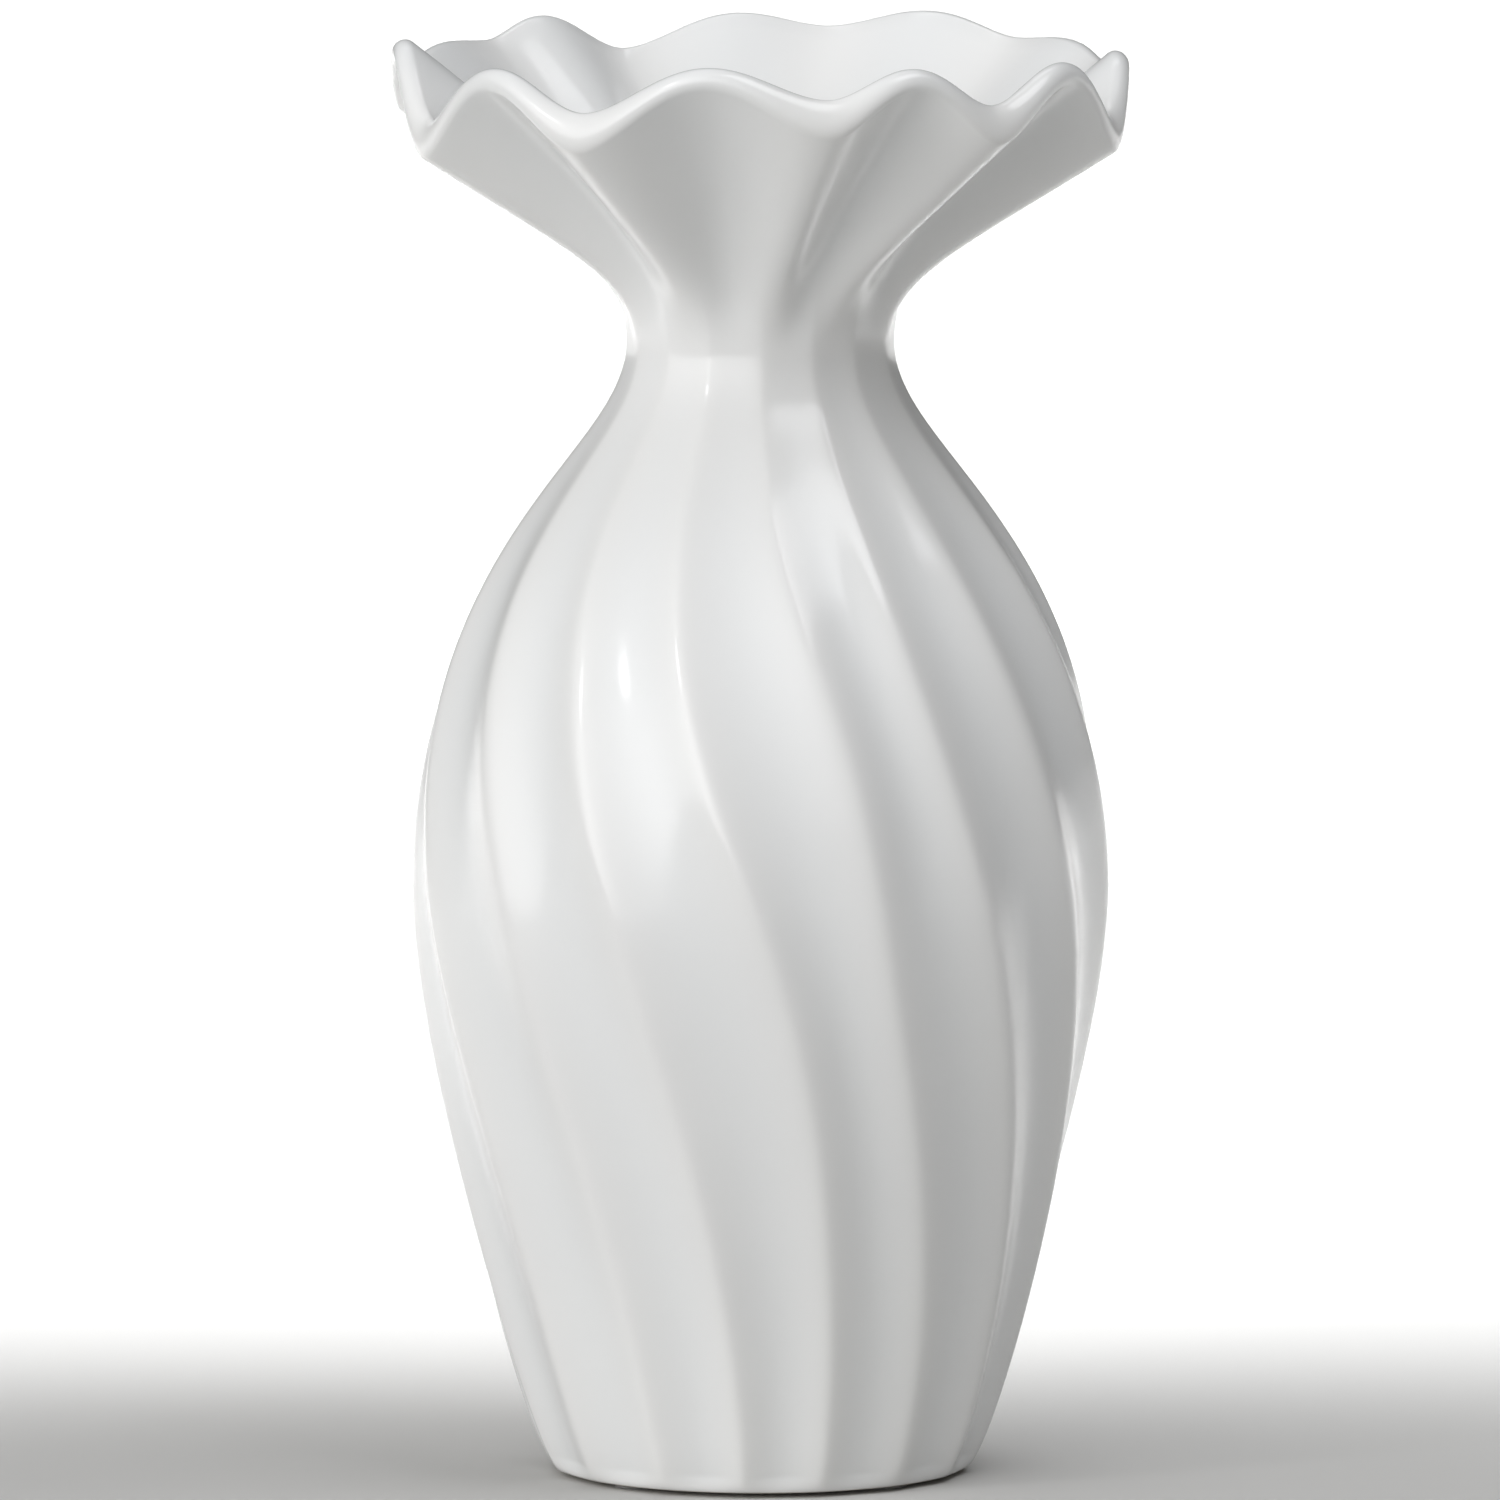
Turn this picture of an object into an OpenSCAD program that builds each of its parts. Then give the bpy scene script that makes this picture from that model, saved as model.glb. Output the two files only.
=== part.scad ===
// Fluted ceramic flower vase with a ruffled mouth, standing on four stick-on pads.
// Millimetres. +Z is up, -Y is the front, and the origin is the middle of the
// footprint, on the surface that the vase stands on.

/* [Foot] */
// Radius of the body where the rounded foot edge ends
foot_r = 38.3; // [30:0.1:46]
// Height of the rounded foot edge
foot_edge_h = 3; // [2:0.1:5]
// Width of the rounded edge, outside the flat ring that carries the vase
foot_edge_w = 3.1; // [1.5:0.1:5]
// Height of the hollow under the base, inside the ring
recess_h = 2.5; // [1:0.1:4]

/* [Body] */
// Radius of the belly, measured over the ridges
belly_r = 60.8; // [48:0.1:74]
// Height of the widest part of the belly
belly_z = 104; // [85:1:126]
// Radius of the neck, measured over the ridges
neck_r = 23; // [18:0.1:29]
// Rise from the belly's widest part to the narrowest part of the neck
shoulder_h = 92.5; // [76:0.5:112]

/* [Mouth] */
// Radius of the mouth at the lip
mouth_r = 63; // [52:0.1:76]
// Rise from the neck to the underside of the lip at its lowest fold
mouth_h = 34.5; // [28:0.5:42]
// Rise of the lip from its lowest fold to its highest crest
ruffle_h = 15; // [8:0.1:20]

/* [Wall] */
// Thickness of the side wall
wall = 4.4; // [3.4:0.1:5.5]
// Thickness of the floor
floor_t = 5; // [3:0.1:7]
// Extra clay in the valley behind each fold of the lip
valley_fill = 3; // [0:0.1:4]

/* [Flutes] */
// Number of twisted flutes round the body
flutes = 16; // [10:1:20]
// Depth of a flute at the belly
flute_d = 2.4; // [1:0.1:3.2]
// Turn of the flutes between neck and foot, in degrees
twist = 38.5; // [0:0.5:60]

/* [Pads] */
// Diameter of a pad
pad_d = 8; // [5:0.1:12]
// Thickness of a pad
pad_t = 0.8; // [0.5:0.1:2]
// Width of flat ring left clear on each side of a pad
pad_margin = 0.75; // [0.25:0.05:3]

/* [Hidden] */

glaze_white = [0.93, 0.93, 0.92];
pad_grey = [0.55, 0.54, 0.52];

// Each fold of the lip, going round from the left: the angle of its ridge from the
// front, how high the lip stands there, how high on the crest that follows it, and the
// degrees that the ridge leans round between neck and lip. The heights are shares of
// ruffle_h. The mouth is shaped by hand, so no two folds are alike.
folds = [
    [-67, 0.00, 0.88, 0],
    [-30, 0.25, 1.00, 0],
    [11, 0.44, 0.96, 7],
    [40.5, 0.30, 0.90, 10],
    [76, 0.02, 0.80, 4],
    [104, 0.44, 0.80, 0],
    [133, 0.57, 1.00, 0],
    [169, 0.60, 0.92, 0],
    [203, 0.36, 0.97, 0],
    [231, 0.56, 0.76, 0],
    [261, 0.35, 1.00, 0]
];
fold_sharpness = 0.85;    // below 1, ridges are tighter than crests
fold_growth = 1.5;        // how early the hollows between folds begin above the neck
lip_growth = 4;           // the folds' own heights differ only near the lip

// Ridges that stray from the even twist, as hand-cut ones do: the ridge's number going
// round from the front, how far it strays at most in degrees, the height where it does,
// and the height over which it comes back
strays = [
    [0, 4.6, 132, 33],
    [15, 4.2, 88, 47]
];

ring_r = foot_r - foot_edge_w;        // outer radius of the flat ring
ring_w = pad_d + 2 * pad_margin;      // its width, as the pads need it

// Directions and lengths of the outline's curve handles
foot_lean = 28;           // degrees from upright, at the foot
foot_handle = 13;
belly_low_handle = 0.26 * belly_z;
belly_high_handle = 0.627 * shoulder_h;
neck_low_handle = 0.186 * shoulder_h;
neck_high_handle = 0.345 * mouth_h;
lip_rise = 32;            // degrees above level, at the lip
lip_handle = 0.94 * mouth_h;

flute_softness = 0.25;    // rounds the ridges between flutes
flute_at_neck = 0.3;      // share of the flute depth that is left at the neck
flute_fade_h = 50;        // height below the neck over which flutes reach full depth
flute_phase = 0.8;        // angle of the first ridge at the neck

// Mesh: lines round the vase, and steps along each stretch of the outline. The hidden
// inside takes fewer steps.
lines = flutes * 7;
foot_steps = 3;
low_steps = 7;
high_steps = 8;
mouth_steps = 8;
lip_steps = 5;
inner_mouth_steps = 6;
inner_high_steps = 5;
inner_low_steps = 4;
floor_steps = 3;

belly = [belly_r, belly_z];
neck = [neck_r, belly_z + shoulder_h];
lip = [mouth_r, belly_z + shoulder_h + mouth_h];
foot_edge = [foot_r, foot_edge_h];
foot_dir = [sin(foot_lean), cos(foot_lean)];
lip_dir = [cos(lip_rise), sin(lip_rise)];
upright = [0, 1];
floor_z = recess_h + floor_t;
inner_start = 0.2;        // where on the lower side the inside wall leaves the floor
floor_r = foot_r - wall - 9;
floor_handle = 6;
pads = 4;

function bezier(a, b, c, d, t) =
    a * pow(1 - t, 3) + 3 * b * t * pow(1 - t, 2) + 3 * c * t * t * (1 - t) + d * pow(t, 3);
function smooth(u) = let (v = min(1, max(0, u))) v * v * (3 - 2 * v);
function steps(n) = [for (i = [1:n]) i / n];

// The outline over the ridges, as [radius, height], in three stretches
function lower_side(t) =
    bezier(foot_edge, foot_edge + foot_handle * foot_dir, belly - belly_low_handle * upright, belly, t);
function upper_side(t) =
    bezier(belly, belly + belly_high_handle * upright, neck - neck_low_handle * upright, neck, t);
function mouth_side(t) =
    bezier(neck, neck + neck_high_handle * upright, lip - lip_handle * lip_dir, lip, t);
function foot_round(t) =
    bezier([ring_r, 0], [ring_r + 0.55 * (foot_r - ring_r), 0], foot_edge - 0.5 * foot_edge_h * foot_dir, foot_edge, t);

// The direction into the clay, at right angles to the mouth's outline
function mouth_inward(t) =
    let (d = mouth_side(min(1, t + 0.005)) - mouth_side(max(0, t - 0.005)), n = d / norm(d)) [-n.y, n.x];

// Flutes: 0 on a ridge and 1 in the middle of a flute
function scoop(line) =
    let (s = sin(flutes / 2 * line), k = flute_softness) (sqrt(s * s + k * k) - k) / (sqrt(1 + k * k) - k);
function flute_share(z) = flute_at_neck + (1 - flute_at_neck) * smooth((neck.y - z) / flute_fade_h);
function flute_cut(p, line) = flute_d * p.x / belly_r * flute_share(p.y) * scoop(line);
function turned(z) = twist * smooth((neck.y - z) / neck.y);
function total(list, i = 0) = i < len(list) ? list[i] + total(list, i + 1) : 0;
function from_ridge(line, number) = let (d = abs(line * flutes / 360 - number)) min(d, flutes - d);
function strayed(line, z) = total([
    for (s = strays) s[1] * smooth(1 - from_ridge(line, s[0])) * exp(-pow((z - s[2]) / s[3], 2))
]);

// Folds of the lip: where a fold's ridge is at share t of the way from neck to lip, the
// fold that an angle belongs to there, and the rise
function fold_at(i, t) = folds[i][0] - folds[i][3] * (1 - t);
function wrapped(angle) = angle - 360 * floor((angle - folds[0][0]) / 360);
function fold_index(a, t) = max([for (i = [0:len(folds) - 1]) if (fold_at(i, t) <= a) i]);
function fold_rise(angle, t, fill) =
    let (
        a = wrapped(angle),
        i = fold_index(a, t),
        j = (i + 1) % len(folds),
        this = folds[i],
        next = folds[j],
        start = fold_at(i, t),
        end = fold_at(j, t) + (j == 0 ? 360 : 0),
        u = (a - start) / (end - start),
        ridge = this[1] + (next[1] - this[1]) * smooth(u),
        crest = this[2] - (this[1] + next[1]) / 2,
        hump = (1 - cos(180 * pow(1 - abs(2 * u - 1), fold_sharpness))) / 2
    )
    ruffle_h * (ridge * pow(t, lip_growth) + crest * hump * pow(t, fold_growth)) + fill * t * (1 - hump);

// Points of the wall, on one line of the mesh. inset is the depth below the outer
// surface, and share is how much of the flutes is left.
function place(r, angle, z) = [r * sin(angle), -r * cos(angle), z + pad_t];
function side_point(p, line, inset = 0, share = 1) =
    let (angle = line + flute_phase + turned(p.y) + strayed(line, p.y))
    place(p.x - share * flute_cut(p, line) - inset, angle, p.y);
function mouth_point(q, t, line, fill = 0) =
    let (
        angle = line + flute_phase,
        rise = fold_rise(angle, t, fill),
        flute_left = flute_cut([q.x, neck.y], line) * pow(1 - t, 2)
    )
    place(q.x - rise * cos(90 * t) - flute_left, angle, q.y + rise * sin(90 * t));

// The rounded lip, from its outer edge (turn 0) over the top to its inner edge (180)
function lip_point(turn, line) =
    let (half = wall / 2, q = lip + half * ((1 - cos(turn)) * mouth_inward(1) + sin(turn) * lip_dir))
    mouth_point(q, 1, line, valley_fill * (1 - cos(turn)) / 2);

// Corner between the inside wall and the floor
function floor_round(t) =
    let (
        top = lower_side(inner_start) - [wall, 0],
        run = lower_side(inner_start) - lower_side(0.9 * inner_start),
        down = run / norm(run)
    )
    bezier(top, top - floor_handle * down, [floor_r + floor_handle, floor_z], [floor_r, floor_z], t);

// One ring of points for each step of the section, from the underside out, up the
// outside, over the lip and down the inside
line_angles = [for (i = [0:lines - 1]) 360 * i / lines];
under_rings = [
    for (p = [[ring_r - ring_w - recess_h, recess_h], [ring_r - ring_w, 0], [ring_r, 0]])
        [for (a = line_angles) side_point(p, a, share = 0)]
];
outer_rings = concat(
    [for (t = steps(foot_steps)) [for (a = line_angles) side_point(foot_round(t), a, share = t)]],
    [for (t = steps(low_steps)) [for (a = line_angles) side_point(lower_side(t), a)]],
    [for (t = steps(high_steps)) [for (a = line_angles) side_point(upper_side(t), a)]],
    [for (t = steps(mouth_steps)) [for (a = line_angles) mouth_point(mouth_side(t), t, a)]],
    [for (t = steps(lip_steps)) [for (a = line_angles) lip_point(180 * t, a)]]
);
inner_rings = concat(
    [for (s = steps(inner_mouth_steps)) let (t = 1 - s)
        [for (a = line_angles) mouth_point(mouth_side(t) + wall * mouth_inward(t), t, a, valley_fill)]],
    [for (s = steps(inner_high_steps)) [for (a = line_angles) side_point(upper_side(1 - s), a, inset = wall)]],
    [for (s = steps(inner_low_steps)) let (t = 1 - s * (1 - inner_start))
        [for (a = line_angles) side_point(lower_side(t), a, inset = wall)]],
    [for (t = steps(floor_steps)) [for (a = line_angles) side_point(floor_round(t), a, share = 1 - t)]]
);
rings = concat(under_rings, outer_rings, inner_rings);

// Closed skin: a fan under the base, bands between the rings, and a fan on the floor
module skin(rings, low_centre, high_centre) {
    n = len(rings[0]);
    last = len(rings) - 1;
    points = concat([low_centre, high_centre], [for (ring = rings) each ring]);
    function at(k, i) = 2 + k * n + i % n;
    faces = concat(
        [for (i = [0:n - 1]) [0, at(0, i), at(0, i + 1)]],
        [for (k = [0:last - 1], i = [0:n - 1]) [at(k, i), at(k + 1, i), at(k + 1, i + 1)]],
        [for (k = [0:last - 1], i = [0:n - 1]) [at(k, i), at(k + 1, i + 1), at(k, i + 1)]],
        [for (i = [0:n - 1]) [1, at(last, i + 1), at(last, i)]]
    );
    polyhedron(points, faces, convexity = 10);
}

// The fired and glazed clay: foot, belly, neck and mouth are one piece
module vase_body() {
    color(glaze_white) skin(rings, [0, 0, recess_h + pad_t], [0, 0, floor_z + pad_t]);
}

// Soft disc stuck under the ring, halfway across it
module foot_pad(number) {
    angle = 360 / pads * (number - 0.5);
    color(pad_grey) rotate(angle) translate([ring_r - ring_w / 2, 0, 0]) cylinder(h = pad_t, d = pad_d, $fn = 48);
}

vase_body();
foot_pad(1);  // foot_pad_1
foot_pad(2);  // foot_pad_2
foot_pad(3);  // foot_pad_3
foot_pad(4);  // foot_pad_4
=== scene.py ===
"""White glazed flower vase with twisted flutes and a ruffled mouth, on four felt pads.

The outline, flutes and folds repeat the rules of the CAD model at a much finer step, with
the small unevenness of a cast, hand-finished pot added. Lengths in the first part are in
millimetres, as in the CAD model, and every mesh is made in metres.
"""
import math

import bpy
import numpy as np
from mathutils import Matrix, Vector


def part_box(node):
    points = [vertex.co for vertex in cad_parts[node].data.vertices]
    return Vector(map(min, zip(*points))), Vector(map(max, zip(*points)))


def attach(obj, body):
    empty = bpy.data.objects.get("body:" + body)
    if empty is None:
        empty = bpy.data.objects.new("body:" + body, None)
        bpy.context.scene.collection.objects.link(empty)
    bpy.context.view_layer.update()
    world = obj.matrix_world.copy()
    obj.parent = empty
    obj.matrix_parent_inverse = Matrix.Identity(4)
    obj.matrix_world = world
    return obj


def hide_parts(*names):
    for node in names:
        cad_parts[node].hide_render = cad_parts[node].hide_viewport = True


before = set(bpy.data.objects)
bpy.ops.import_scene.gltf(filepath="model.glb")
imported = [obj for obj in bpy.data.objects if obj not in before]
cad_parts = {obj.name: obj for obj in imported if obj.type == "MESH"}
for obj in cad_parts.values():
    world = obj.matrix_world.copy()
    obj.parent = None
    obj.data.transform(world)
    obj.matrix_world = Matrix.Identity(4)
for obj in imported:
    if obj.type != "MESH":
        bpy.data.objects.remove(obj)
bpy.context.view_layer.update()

MM = 0.001

# ---------------------------------------------------------------- sizes of the vase, in mm
PAD_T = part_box("foot_pad_1")[1].z / MM
FOOT_R, FOOT_EDGE_H, FOOT_EDGE_W, RECESS_H = 38.3, 3.0, 3.1, 2.5
PAD_D, PAD_MARGIN = 8.0, 0.75
RING_R, RING_W = FOOT_R - FOOT_EDGE_W, PAD_D + 2 * PAD_MARGIN
BELLY_R, BELLY_Z = 60.8, 104.0
NECK_R, SHOULDER_H = 23.0, 92.5
MOUTH_R, MOUTH_H, RUFFLE_H = 63.0, 34.5, 15.0
WALL, FLOOR_T, VALLEY_FILL = 4.4, 5.0, 3.0
FLUTES, FLUTE_D, TWIST = 16, 2.4, 38.5

# Each fold of the lip: angle of its ridge from the front, its height and the height of
# the crest after it as shares of RUFFLE_H, and the degrees it leans between neck and lip
FOLDS = np.array([
    (-67, 0.00, 0.88, 0),
    (-30, 0.25, 1.00, 0),
    (11, 0.44, 0.96, 7),
    (40.5, 0.30, 0.90, 10),
    (76, 0.02, 0.80, 4),
    (104, 0.44, 0.80, 0),
    (133, 0.57, 1.00, 0),
    (169, 0.60, 0.92, 0),
    (203, 0.36, 0.97, 0),
    (231, 0.56, 0.76, 0),
    (261, 0.35, 1.00, 0),
])
# Tightness of the ridges at the lip, how early hollows and ridges rise above the neck, and
# the share of the mouth over which the hollows set in
FOLD_SHARPNESS, FOLD_GROWTH, LIP_GROWTH, FOLD_START = 0.92, 1.5, 4.0, 0.25

# Directions and lengths of the outline's curve handles
FOOT_LEAN, FOOT_HANDLE = math.radians(28), 13.0
BELLY_LOW_HANDLE, BELLY_HIGH_HANDLE = 0.26 * BELLY_Z, 0.627 * SHOULDER_H
NECK_LOW_HANDLE, NECK_HIGH_HANDLE = 0.186 * SHOULDER_H, 0.345 * MOUTH_H
LIP_RISE, LIP_HANDLE = math.radians(32), 0.94 * MOUTH_H

# Roundness of the ridges, share of the depth left at the neck, fade height, first ridge
FLUTE_SOFTNESS, FLUTE_AT_NECK, FLUTE_FADE_H, FLUTE_PHASE = 0.25, 0.3, 50.0, 0.8
# Ridges that stray from the even twist: number, degrees, height, and height of the bend
STRAYS = ((0, 4.6, 132, 33), (15, 4.2, 88, 47))
# How the spacing of the flutes wanders: degrees, waves round the vase, and phase
WANDERS = ((1.1, 2, 40), (0.7, 5, 200))

# Inside: where the floor's round begins on the lower side, its flat's radius, its handle
INNER_START = 0.2
FLOOR_R, FLOOR_HANDLE = FOOT_R - WALL - 9, 6.0

BELLY = np.array([BELLY_R, BELLY_Z])
NECK = np.array([NECK_R, BELLY_Z + SHOULDER_H])
LIP = np.array([MOUTH_R, BELLY_Z + SHOULDER_H + MOUTH_H])
FOOT_EDGE = np.array([FOOT_R, FOOT_EDGE_H])
FOOT_DIR = np.array([math.sin(FOOT_LEAN), math.cos(FOOT_LEAN)])
LIP_DIR = np.array([math.cos(LIP_RISE), math.sin(LIP_RISE)])
UP = np.array([0.0, 1.0])
FLOOR_Z = RECESS_H + FLOOR_T

# Mesh: lines round the vase, and steps along each stretch of the section
LINES = FLUTES * 36
LINE_ANGLES = np.arange(LINES) * 360.0 / LINES
CENTRE_R = 4
UNDER_RINGS, RECESS_STEPS, RING_STEPS, FOOT_STEPS = 6, 6, 8, 10
LOW_STEPS, HIGH_STEPS, MOUTH_STEPS, LIP_STEPS = 70, 80, 70, 18
INNER_MOUTH_STEPS, INNER_HIGH_STEPS, INNER_LOW_STEPS = 40, 36, 30
FLOOR_STEPS, FLOOR_RINGS = 8, 8
# Rings below and above the neck that the glaze evens out, and how thoroughly
SETTLE_BELOW, SETTLE_ABOVE, SETTLE_PASSES = 34, 40, 60

# The stage, in metres
FLOOR_HALF = 7.0
LIGHT_DISTANCE = 2.0
COOL_WHITE = (0.97, 0.98, 1.0)


def sind(a):
    return np.sin(np.radians(a))


def cosd(a):
    return np.cos(np.radians(a))


def smooth(u):
    v = np.clip(u, 0, 1)
    return v * v * (3 - 2 * v)


def bezier(a, b, c, d, t):
    return a * (1 - t) ** 3 + 3 * b * t * (1 - t) ** 2 + 3 * c * t * t * (1 - t) + d * t ** 3


# ------------------------------------------------------------------ outline, as (radius, z)
def lower_side(t):
    return bezier(FOOT_EDGE, FOOT_EDGE + FOOT_HANDLE * FOOT_DIR, BELLY - BELLY_LOW_HANDLE * UP, BELLY, t)


def upper_side(t):
    return bezier(BELLY, BELLY + BELLY_HIGH_HANDLE * UP, NECK - NECK_LOW_HANDLE * UP, NECK, t)


def mouth_side(t):
    return bezier(NECK, NECK + NECK_HIGH_HANDLE * UP, LIP - LIP_HANDLE * LIP_DIR, LIP, t)


def foot_round(t):
    """The rounded edge from the flat ring up to the side, with handles of about half its size."""
    flat_handle, side_handle = 0.55, 0.5
    inner = np.array([RING_R, 0.0])
    outer = np.array([RING_R + flat_handle * (FOOT_R - RING_R), 0.0])
    return bezier(inner, outer, FOOT_EDGE - side_handle * FOOT_EDGE_H * FOOT_DIR, FOOT_EDGE, t)


def floor_round(t):
    """The round between the inner wall and the flat of the floor."""
    top = lower_side(INNER_START) - np.array([WALL, 0])
    run = lower_side(INNER_START) - lower_side(0.9 * INNER_START)
    up = run / np.linalg.norm(run)
    flat = np.array([FLOOR_R, FLOOR_Z])
    return bezier(top, top - FLOOR_HANDLE * up, np.array([FLOOR_R + FLOOR_HANDLE, FLOOR_Z]), flat, t)


def mouth_inward(t):
    """Direction from the outside of the mouth to its inside, square to the outline."""
    step = 0.005
    run = mouth_side(min(1.0, t + step)) - mouth_side(max(0.0, t - step))
    along = run / np.linalg.norm(run)
    return np.array([-along[1], along[0]])


# ------------------------------------------------------------------------- flutes and folds
def uneven_line(line):
    """The flutes were cut by hand into the first model, so their spacing wanders a little."""
    total = line
    for degrees, waves, phase in WANDERS:
        total = total + degrees * sind(waves * line + phase)
    return total


def softened(s, k):
    """Size of s from 0 to 1, with its corner at 0 rounded over a width of k."""
    return (np.sqrt(s * s + k * k) - k) / (math.sqrt(1 + k * k) - k)


def scoop(line):
    return softened(sind(FLUTES / 2 * line), FLUTE_SOFTNESS)


def flute_share(z):
    return FLUTE_AT_NECK + (1 - FLUTE_AT_NECK) * smooth((NECK[1] - z) / FLUTE_FADE_H)


def flute_cut(p, line):
    return FLUTE_D * p[0] / BELLY_R * flute_share(p[1]) * scoop(line)


def turned(z):
    return TWIST * smooth((NECK[1] - z) / NECK[1])


def strayed(line, z):
    total = 0
    for number, degrees, height, spread in STRAYS:
        away = np.abs(line * FLUTES / 360 - number)
        near = smooth(1 - np.minimum(away, FLUTES - away))
        total = total + degrees * near * math.exp(-((z - height) / spread) ** 2)
    return total


def fold_shape(angle, t):
    """Height of the ridges, height of the hollows above them, and 0 on a ridge to 1 on a crest."""
    a = np.mod(angle - FOLDS[0, 0], 360) + FOLDS[0, 0]
    at = FOLDS[:, 0] - FOLDS[:, 3] * (1 - t)
    at = np.append(at, at[0] + 360)
    low = np.append(FOLDS[:, 1], FOLDS[0, 1])
    i = np.clip(np.searchsorted(at, a, side="right") - 1, 0, len(FOLDS) - 1)
    u = (a - at[i]) / (at[i + 1] - at[i])
    ridge = low[i] + (low[i + 1] - low[i]) * smooth(u)
    away = np.clip(1 - np.abs(2 * u - 1), 0, 1)
    sharpness = 1 - (1 - FOLD_SHARPNESS) * t
    hump = (1 - np.cos(np.pi * away ** sharpness)) / 2
    return ridge, (FOLDS[i, 2] - (low[i] + low[i + 1]) / 2) * hump, hump


# ------------------------------------------------------------------------------ the surface
class Skin:
    """Rings of points from the underside, up the outside, over the lip and down the inside."""

    def __init__(self):
        self.points = []
        self.pool = []
        self.bare = []

    def add(self, r, angle, z, pool, bare=0.0):
        a = np.radians(angle)
        r, z = r + 0 * a, z + 0 * a
        self.points.append(np.stack([r * np.sin(a), -r * np.cos(a), z + PAD_T], axis=1) * MM)
        self.pool.append(pool + 0 * a)
        self.bare.append(bare + 0 * a)

    def side(self, p, inset=0.0, share=1.0, bare=0.0):
        line = uneven_line(LINE_ANGLES)
        cut = share * flute_cut(p, line)
        r = p[0] - cut - inset
        angle = LINE_ANGLES + FLUTE_PHASE + turned(p[1]) + strayed(LINE_ANGLES, p[1])
        self.add(r, angle, p[1], share * flute_share(p[1]) * scoop(line), bare)

    def mouth(self, q, t, fill=0.0):
        angle = LINE_ANGLES + FLUTE_PHASE
        ridge, hollow, hump = fold_shape(angle, t)
        start = smooth(t / FOLD_START)
        folded = ridge * t ** LIP_GROWTH + start * hollow * t ** FOLD_GROWTH
        rise = RUFFLE_H * folded + fill * t * (1 - hump)
        line = uneven_line(LINE_ANGLES)
        left = flute_cut((q[0], NECK[1]), line) * (1 - smooth(t))
        r = q[0] - rise * cosd(90 * t) - left
        z = q[1] + rise * sind(90 * t)
        self.add(r, angle, z, hump * t ** 0.5)

    def settle(self, low, high, passes):
        """Melted glaze evens out the line where two curves of the outside meet."""
        for _ in range(passes):
            old = list(self.points)
            for k in range(low, high):
                share = math.sin(math.pi * (k - low) / (high - low)) ** 2
                self.points[k] = old[k] + share * (old[k - 1] - 2 * old[k] + old[k + 1]) / 4

    def lip(self, turn):
        half = WALL / 2
        q = LIP + half * ((1 - cosd(turn)) * mouth_inward(1) + sind(turn) * LIP_DIR)
        self.mouth(q, 1.0, VALLEY_FILL * (1 - cosd(turn)) / 2)


def steps(n):
    return [i / n for i in range(1, n + 1)]


def vase_mesh():
    skin = Skin()
    add_underside(skin)
    add_outside(skin)
    for t in steps(LIP_STEPS):
        skin.lip(180 * t)
    add_inside(skin)
    return skin


def add_underside(skin):
    recess_r = RING_R - RING_W - RECESS_H
    for r in np.linspace(CENTRE_R, recess_r, UNDER_RINGS):
        skin.side((r, RECESS_H), share=0)
    for t in steps(RECESS_STEPS):
        p = (RING_R - RING_W - RECESS_H * (1 - t), RECESS_H * (1 - smooth(t)))
        skin.side(p, share=0, bare=t)
    for t in steps(RING_STEPS):
        skin.side((RING_R - RING_W + RING_W * t, 0), share=0, bare=1.0)


def add_outside(skin):
    for t in steps(FOOT_STEPS):
        skin.side(foot_round(t), share=t, bare=1 - smooth(t / 0.4))
    for t in steps(LOW_STEPS):
        skin.side(lower_side(t))
    for t in steps(HIGH_STEPS):
        skin.side(upper_side(t))
    neck = len(skin.points)
    for t in steps(MOUTH_STEPS):
        skin.mouth(mouth_side(t), t)
    skin.settle(neck - SETTLE_BELOW, neck + SETTLE_ABOVE, SETTLE_PASSES)


def add_inside(skin):
    for s in steps(INNER_MOUTH_STEPS):
        t = 1 - s
        skin.mouth(mouth_side(t) + WALL * mouth_inward(t), t, VALLEY_FILL)
    for s in steps(INNER_HIGH_STEPS):
        skin.side(upper_side(1 - s), inset=WALL)
    for s in steps(INNER_LOW_STEPS):
        skin.side(lower_side(1 - s * (1 - INNER_START)), inset=WALL)
    for t in steps(FLOOR_STEPS):
        skin.side(floor_round(t), share=1 - t)
    for r in np.linspace(FLOOR_R, CENTRE_R, FLOOR_RINGS)[1:]:
        skin.side((r, FLOOR_Z), share=0)


def skin_object(name, skin):
    """The rings joined by quads, closed in the middle of the base and of the inner floor."""
    n = LINES
    rings = len(skin.points)
    middles = np.array([[0, 0, (RECESS_H + PAD_T) * MM], [0, 0, (FLOOR_Z + PAD_T) * MM]])
    co = np.concatenate(skin.points + [middles])
    under, floor = rings * n, rings * n + 1
    k, i = np.meshgrid(np.arange(rings - 1), np.arange(n), indexing="ij")
    j = (i + 1) % n
    quads = np.stack([k * n + i, k * n + j, (k + 1) * n + j, (k + 1) * n + i], axis=-1).reshape(-1, 4)
    last = (rings - 1) * n
    faces = quads.tolist()
    faces += [(under, (i + 1) % n, i) for i in range(n)]
    faces += [(floor, last + i, last + (i + 1) % n) for i in range(n)]
    mesh = bpy.data.meshes.new(name)
    mesh.from_pydata(co.tolist(), [], faces)
    for label, values in (("pool", skin.pool), ("bare", skin.bare)):
        layer = mesh.attributes.new(label, "FLOAT", "POINT")
        ends = [values[0][0], values[-1][0]]
        layer.data.foreach_set("value", np.concatenate(values + [np.array(ends)]).astype(np.float32))
    mesh.polygons.foreach_set("use_smooth", np.ones(len(faces), bool))
    mesh.update()
    obj = bpy.data.objects.new(name, mesh)
    bpy.context.scene.collection.objects.link(obj)
    return obj


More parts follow.
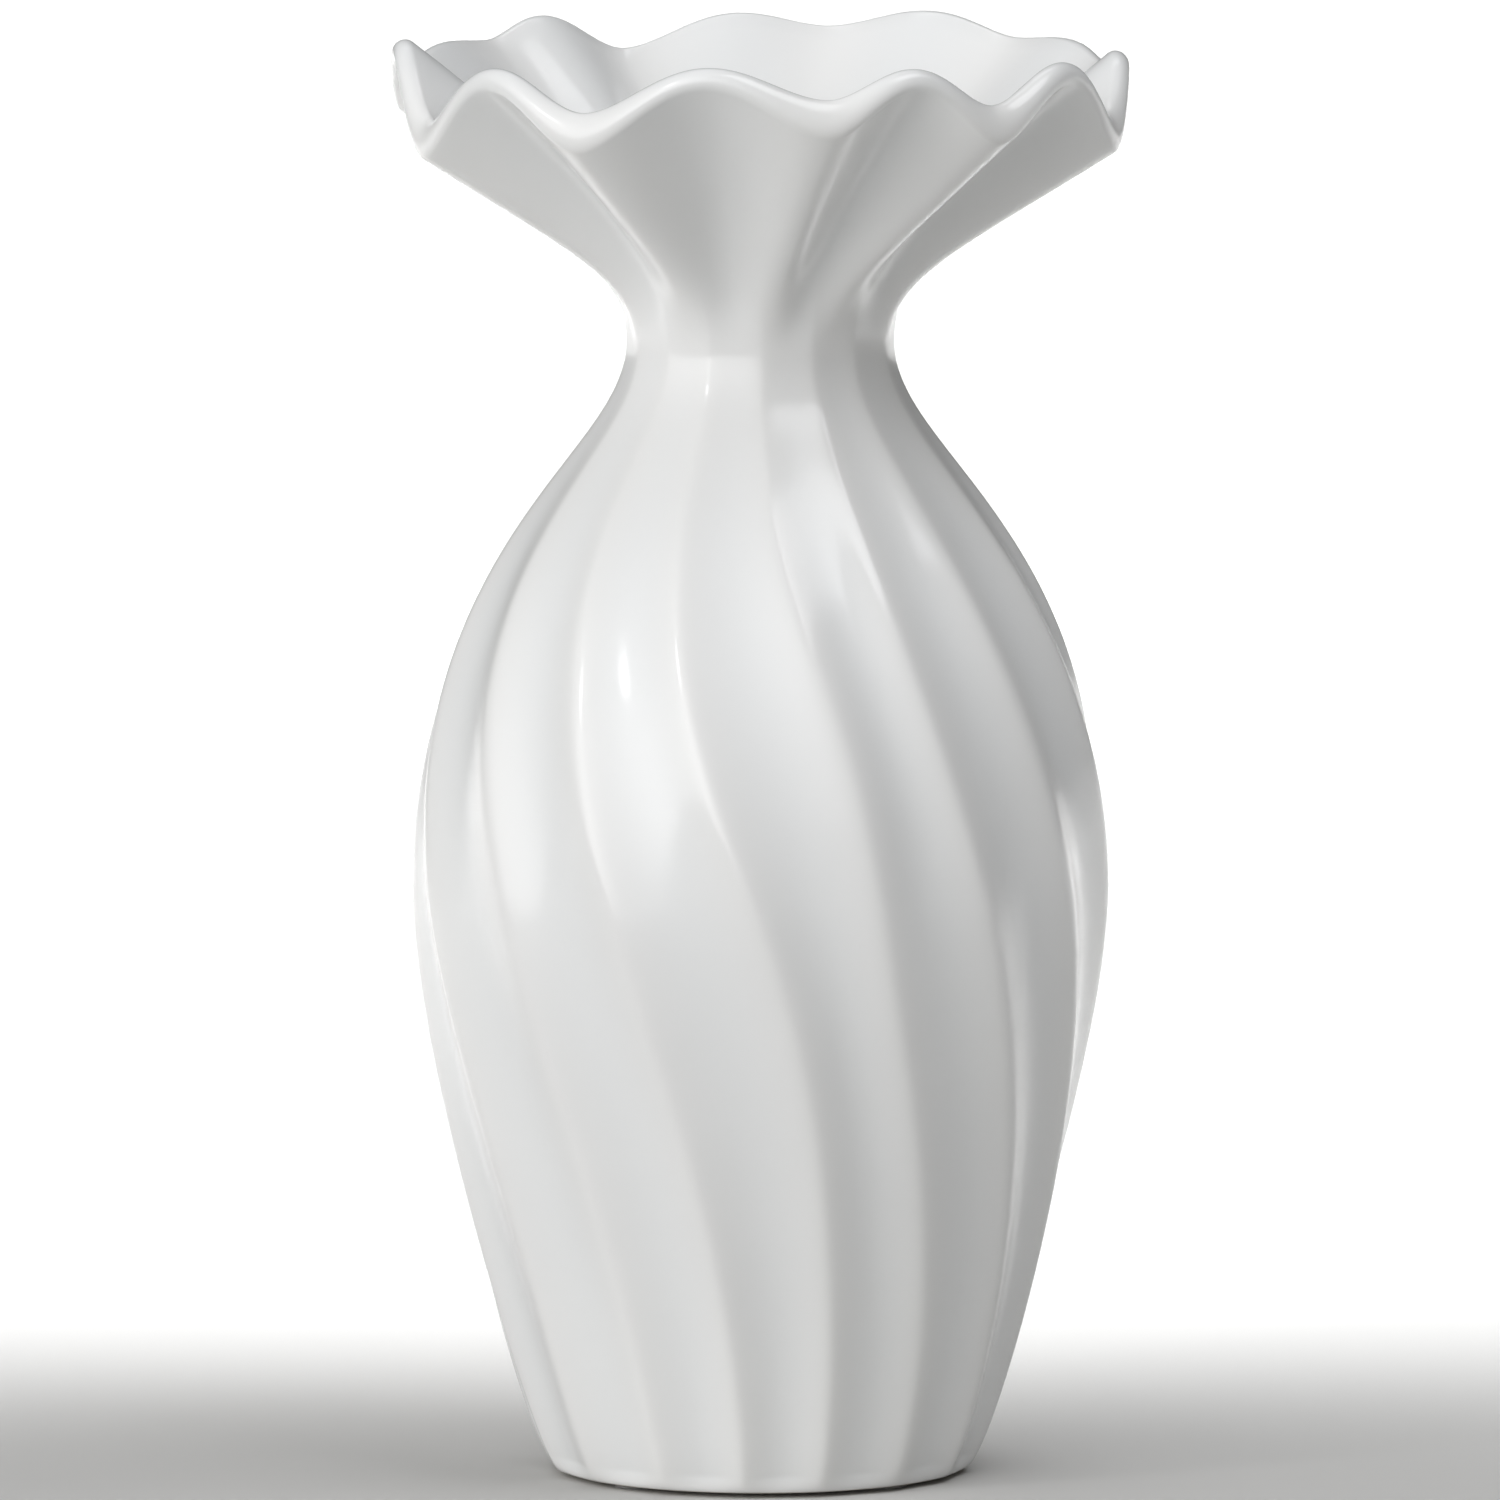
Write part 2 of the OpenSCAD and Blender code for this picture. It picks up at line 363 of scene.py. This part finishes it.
# --------------------------------------------------------------------------------- materials
class Nodes:
    """A material's node tree, with short ways to add and join nodes."""

    def __init__(self, name):
        self.material = bpy.data.materials.new(name)
        self.material.use_nodes = True
        self.tree = self.material.node_tree
        self.shader = self.tree.nodes["Principled BSDF"]

    def add(self, kind, **sockets):
        node = self.tree.nodes.new(kind)
        for key, value in sockets.items():
            node.inputs[key.replace("_", " ")].default_value = value
        return node

    def join(self, a, b):
        self.tree.links.new(a, b)

    def noise(self, scale, detail=3.0, rough=0.5):
        where = self.tree.nodes.new("ShaderNodeTexCoord")
        node = self.add("ShaderNodeTexNoise", Scale=scale, Detail=detail, Roughness=rough)
        self.join(where.outputs["Object"], node.inputs["Vector"])
        return node.outputs["Fac"]

    def ramp(self, value, low, high, to_low, to_high):
        node = self.add("ShaderNodeMapRange")
        node.inputs["From Min"].default_value = low
        node.inputs["From Max"].default_value = high
        node.inputs["To Min"].default_value = to_low
        node.inputs["To Max"].default_value = to_high
        self.join(value, node.inputs["Value"])
        return node.outputs["Result"]

    def mix(self, share, a, b):
        node = self.tree.nodes.new("ShaderNodeMix")
        node.data_type = "RGBA"
        sockets = [s for s in node.inputs if s.type == "RGBA"]
        for socket, value in zip(sockets, (a, b)):
            if isinstance(value, tuple):
                socket.default_value = value
            else:
                self.join(value, socket)
        self.join(share, node.inputs["Factor"])
        return [s for s in node.outputs if s.type == "RGBA"][0]

    def attribute(self, name):
        node = self.tree.nodes.new("ShaderNodeAttribute")
        node.attribute_name = name
        return node.outputs["Fac"]

    def bump(self, height, distance, strength, below=None):
        node = self.add("ShaderNodeBump", Strength=strength, Distance=distance)
        self.join(height, node.inputs["Height"])
        if below is not None:
            self.join(below, node.inputs["Normal"])
        return node.outputs["Normal"]


def glaze_material():
    """Glossy white glaze, a little cooler where it pools in the hollows, over bare clay below."""
    m = Nodes("white_glaze")
    thin, thick, pool = (0.80, 0.80, 0.795, 1), (0.84, 0.84, 0.83, 1), (0.80, 0.815, 0.82, 1)
    clay_dark, clay_pale = (0.62, 0.57, 0.50, 1), (0.74, 0.70, 0.64, 1)
    white = m.mix(m.ramp(m.noise(scale=14, detail=2), 0.35, 0.65, 0, 1), thin, thick)
    pooled = m.mix(m.ramp(m.attribute("pool"), 0.0, 1.0, 0.0, 0.5), white, pool)
    clay = m.mix(m.noise(scale=900, detail=4), clay_dark, clay_pale)
    edge = m.ramp(m.attribute("bare"), 0.4, 0.6, 0, 1)
    m.join(m.mix(edge, pooled, clay), m.shader.inputs["Base Color"])
    m.join(m.ramp(m.noise(scale=60), 0.3, 0.7, 0.13, 0.2), m.shader.inputs["Roughness"])
    m.shader.inputs["IOR"].default_value = 1.5
    peel = m.bump(m.noise(scale=220, detail=2), distance=0.0002, strength=0.12)
    flow = m.bump(m.noise(scale=45, detail=2), distance=0.0006, strength=0.10, below=peel)
    m.join(flow, m.shader.inputs["Normal"])
    return m.material


def felt_material():
    """Grey pressed felt, with its fibres in the colour and in the surface."""
    m = Nodes("pad_felt")
    dark, pale = (0.20, 0.195, 0.19, 1), (0.42, 0.41, 0.40, 1)
    fibres = m.noise(scale=2500, detail=6, rough=0.7)
    m.join(m.mix(fibres, dark, pale), m.shader.inputs["Base Color"])
    m.shader.inputs["Roughness"].default_value = 0.95
    m.join(m.bump(fibres, distance=0.0003, strength=0.8), m.shader.inputs["Normal"])
    return m.material


def floor_material():
    """Plain pale board, a touch warm."""
    m = Nodes("pale_floor")
    dark, pale = (0.60, 0.595, 0.58, 1), (0.62, 0.615, 0.60, 1)
    m.join(m.mix(m.noise(scale=3, detail=2), dark, pale), m.shader.inputs["Base Color"])
    m.shader.inputs["Roughness"].default_value = 0.9
    m.shader.inputs["Specular IOR Level"].default_value = 0.1
    return m.material


# ------------------------------------------------------------------------------------ pieces
def make_vase():
    vase = skin_object("vase_shell", vase_mesh())
    vase.data.materials.append(glaze_material())
    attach(vase, "root")
    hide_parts("vase_body")


def felt_disc(name, low, high, seed):
    """A felt disc with a soft edge, pressed thin by the pot's weight."""
    around, across = 72, 14
    soft_from, frayed = 0.86, 0.012
    centre = (low + high) / 2
    radius, thick = (high.x - low.x) / 2, high.z - low.z
    verts = []
    for side in (0, 1):
        for k in range(across):
            share = (k + 1) / across
            r = radius * math.sin(share * math.pi / 2)
            drop = 0.5 * thick * max(0.0, (r / radius - soft_from) / (1 - soft_from)) ** 2
            for i in range(around):
                a = 2 * math.pi * i / around
                wave = 1 + math.sin(9 * a + seed) * math.sin(23 * a + 2 * seed)
                fray = 1 - frayed * wave * share ** 6
                z = low.z + drop if side == 0 else high.z - drop
                verts.append((centre.x + r * fray * math.cos(a), centre.y + r * fray * math.sin(a), z))
    under, over = len(verts), len(verts) + 1
    verts += [(centre.x, centre.y, low.z), (centre.x, centre.y, high.z)]

    def at(side, k, i):
        return (side * across + k) * around + i % around

    faces = []
    for i in range(around):
        faces.append((under, at(0, 0, i + 1), at(0, 0, i)))
        faces.append((over, at(1, 0, i), at(1, 0, i + 1)))
        for k in range(across - 1):
            faces.append((at(0, k, i), at(0, k, i + 1), at(0, k + 1, i + 1), at(0, k + 1, i)))
            faces.append((at(1, k, i), at(1, k + 1, i), at(1, k + 1, i + 1), at(1, k, i + 1)))
        rim = across - 1
        faces.append((at(0, rim, i), at(0, rim, i + 1), at(1, rim, i + 1), at(1, rim, i)))
    mesh = bpy.data.meshes.new(name)
    mesh.from_pydata(verts, [], faces)
    mesh.polygons.foreach_set("use_smooth", np.ones(len(faces), bool))
    obj = bpy.data.objects.new(name, mesh)
    bpy.context.scene.collection.objects.link(obj)
    return obj


def make_pads():
    felt = felt_material()
    for number in (1, 2, 3, 4):
        node = f"foot_pad_{number}"
        low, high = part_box(node)
        pad = felt_disc(f"felt_disc_{number}", low, high, seed=number)
        pad.data.materials.append(felt)
        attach(pad, "root")
        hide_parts(node)


# ------------------------------------------------------------------------------------- stage
def make_floor():
    corners = [(FLOOR_HALF * x, FLOOR_HALF * y, 0) for x, y in ((-1, -1), (1, -1), (1, 1), (-1, 1))]
    mesh = bpy.data.meshes.new("floor")
    mesh.from_pydata(corners, [], [(0, 1, 2, 3)])
    floor = bpy.data.objects.new("floor", mesh)
    bpy.context.scene.collection.objects.link(floor)
    floor.data.materials.append(floor_material())


def aim(obj, target):
    obj.rotation_mode = "QUATERNION"
    obj.rotation_quaternion = (Vector(target) - obj.location).to_track_quat("-Z", "Y")


def direction(azimuth, elevation):
    """Towards a light: azimuth 0 is in front of the vase, and a negative one is to its left."""
    a, e = math.radians(azimuth), math.radians(elevation)
    return Vector((math.sin(a) * math.cos(e), -math.cos(a) * math.cos(e), math.sin(e)))


def area_light(name, place, target, size, watts, spread=180):
    """A soft box with a grid in front of it, which keeps its light within the spread."""
    light = bpy.data.lights.new(name, "AREA")
    light.shape = "RECTANGLE"
    light.size, light.size_y = size
    light.energy = watts
    light.spread = math.radians(spread)
    light.color = COOL_WHITE
    obj = bpy.data.objects.new(name, light)
    obj.location = place
    aim(obj, target)
    bpy.context.scene.collection.objects.link(obj)


def studio_walls(ambient, glow, azimuth, elevation, power):
    """Pale walls all round, with a wide soft glow that is brightest in one direction."""
    world = bpy.data.worlds.new("studio")
    world.use_nodes = True
    nodes, links = world.node_tree.nodes, world.node_tree.links
    where = nodes.new("ShaderNodeTexCoord")
    towards = nodes.new("ShaderNodeVectorMath")
    towards.operation = "DOT_PRODUCT"
    towards.inputs[1].default_value = direction(azimuth, elevation)
    half = nodes.new("ShaderNodeMath")
    half.operation = "MULTIPLY_ADD"
    half.inputs[1].default_value = 0.5
    half.inputs[2].default_value = 0.5
    lobe = nodes.new("ShaderNodeMath")
    lobe.operation = "POWER"
    lobe.inputs[1].default_value = power
    total = nodes.new("ShaderNodeMath")
    total.operation = "MULTIPLY_ADD"
    total.inputs[1].default_value = glow
    total.inputs[2].default_value = ambient
    background = nodes["Background"]
    background.inputs["Color"].default_value = (1, 1, 1, 1)
    links.new(where.outputs["Generated"], towards.inputs[0])
    links.new(towards.outputs["Value"], half.inputs[0])
    links.new(half.outputs[0], lobe.inputs[0])
    links.new(lobe.outputs[0], total.inputs[0])
    links.new(total.outputs[0], background.inputs["Strength"])
    bpy.context.scene.world = world


def make_lights():
    """A glow low on the left and a soft box high on the right, with the floor lit behind."""
    middle = Vector((0, 0, 0.13))
    key_place = middle + LIGHT_DISTANCE * direction(-48, 33)
    fill_place = middle + LIGHT_DISTANCE * direction(52, 62)
    studio_walls(ambient=0.115, glow=3.75, azimuth=-43, elevation=8, power=12)
    area_light("key", key_place, middle, (0.14, 0.2), 2.2)
    area_light("fill", fill_place, middle, (1.2, 1.2), 15)
    area_light("backdrop_far", (0, 2.5, 2.2), (0, 2.5, 0), (5.0, 3.2), 84, spread=70)
    area_light("backdrop_near", (0, 0.78, 0.4), (0, 0.78, 0), (2.2, 1.3), 11.5, spread=50)


def make_camera():
    """Nearly level and far away, so that the mouth is seen from just above its lip."""
    distance, height, beside, target_z = 4.3, 0.625, -0.0018, 0.1264
    camera = bpy.data.cameras.new("camera")
    camera.sensor_width = 36
    camera.lens = 596.7
    obj = bpy.data.objects.new("camera", camera)
    obj.location = (beside, -distance, height)
    aim(obj, (beside, 0, target_z))
    bpy.context.scene.collection.objects.link(obj)
    bpy.context.scene.camera = obj


make_vase()
make_pads()
make_floor()
make_lights()
make_camera()
bpy.context.scene.view_settings.view_transform = "Standard"
